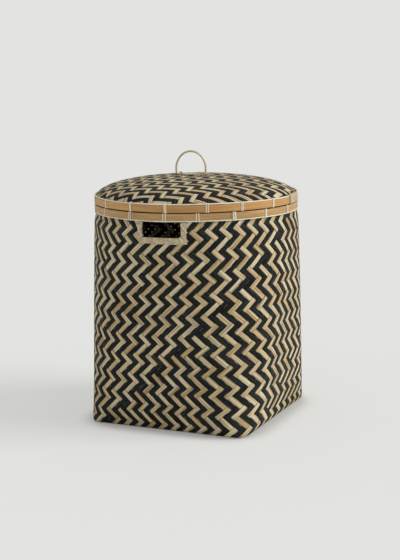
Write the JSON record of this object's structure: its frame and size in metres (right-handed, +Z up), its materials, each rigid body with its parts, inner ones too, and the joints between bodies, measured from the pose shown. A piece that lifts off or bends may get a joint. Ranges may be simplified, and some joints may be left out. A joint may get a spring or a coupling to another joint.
{
  "type": "lidded basket",
  "caption": "Tall woven basket, square at the base and round at the rim, with two hand holes and a domed lift-off lid with a ring handle.",
  "frame": {"origin": "middle of the base, on the floor", "axes": "+Z up; -Y is the wall with the hand hole nearest the camera; +X to the right of that wall"},
  "size_m": [0.4118, 0.4122, 0.5376],
  "materials": {
    "split_strip": "satin, light and near-black split strips in a zigzag twill",
    "lid_hoop": "satin, warm orange-tan bamboo",
    "body_hoop": "satin, greyish tan bamboo",
    "inner_hoop": "matt bamboo",
    "pale_cane": "satin pale cane",
    "binding_strip": "matt pale split strip",
    "handle_cane": "satin bent cane"
  },
  "bodies": {
    "basket": {"body_weave": "split_strip", "body_outer_hoop": "body_hoop", "body_inner_hoop": "inner_hoop", "body_edge_cane": "pale_cane", "body_rim_tie_01": "pale_cane", "body_rim_tie_02": "pale_cane", "body_rim_tie_03": "pale_cane", "body_rim_tie_04": "pale_cane", "body_rim_tie_05": "pale_cane", "body_rim_tie_06": "pale_cane", "body_rim_tie_07": "pale_cane", "body_rim_tie_08": "pale_cane", "body_rim_tie_09": "pale_cane", "body_rim_tie_10": "pale_cane", "body_rim_tie_11": "pale_cane", "body_rim_tie_12": "pale_cane", "body_rim_tie_13": "pale_cane", "body_rim_tie_14": "pale_cane", "body_rim_tie_15": "pale_cane", "body_rim_tie_16": "pale_cane", "body_rim_tie_17": "pale_cane", "body_rim_tie_18": "pale_cane", "body_rim_tie_19": "pale_cane", "front_grip_binding_left": "binding_strip", "front_grip_binding_right": "binding_strip", "front_grip_binding_bottom": "binding_strip", "front_grip_stitch_left": "pale_cane", "front_grip_stitch_right": "pale_cane", "back_grip_binding_left": "binding_strip", "back_grip_binding_right": "binding_strip", "back_grip_binding_bottom": "binding_strip", "back_grip_stitch_left": "pale_cane", "back_grip_stitch_right": "pale_cane"},
    "lid": {"lid_weave": "split_strip", "lid_outer_hoop": "lid_hoop", "lid_inner_hoop": "inner_hoop", "lid_locating_hoop": "inner_hoop", "lid_edge_cane": "pale_cane", "lid_hoop_wrap": "pale_cane", "lid_rim_tie_01": "pale_cane", "lid_rim_tie_02": "pale_cane", "lid_rim_tie_03": "pale_cane", "lid_rim_tie_04": "pale_cane", "lid_rim_tie_05": "pale_cane", "lid_rim_tie_06": "pale_cane", "lid_rim_tie_07": "pale_cane", "lid_rim_tie_08": "pale_cane", "lid_rim_tie_09": "pale_cane", "lid_rim_tie_10": "pale_cane", "lid_rim_tie_11": "pale_cane", "lid_rim_tie_12": "pale_cane", "lid_rim_tie_13": "pale_cane", "lid_rim_tie_14": "pale_cane", "lid_rim_tie_15": "pale_cane", "lid_rim_tie_16": "pale_cane", "lid_rim_tie_17": "pale_cane", "handle_tie_left": "pale_cane", "handle_tie_right": "pale_cane"},
    "handle": {"handle_ring": "handle_cane"}
  },
  "joints": [
    {"name": "lid_lift", "type": "slide", "parent": "basket", "child": "lid", "axis": [0, 0, 1], "range_m": [0, 0.15]},
    {"name": "handle_fold", "type": "hinge", "parent": "lid", "child": "handle", "pos_m": [-0.01, -0.0046, 0.4893], "axis": [1, 0, 0], "range_deg": [-80, 80]}
  ]
}
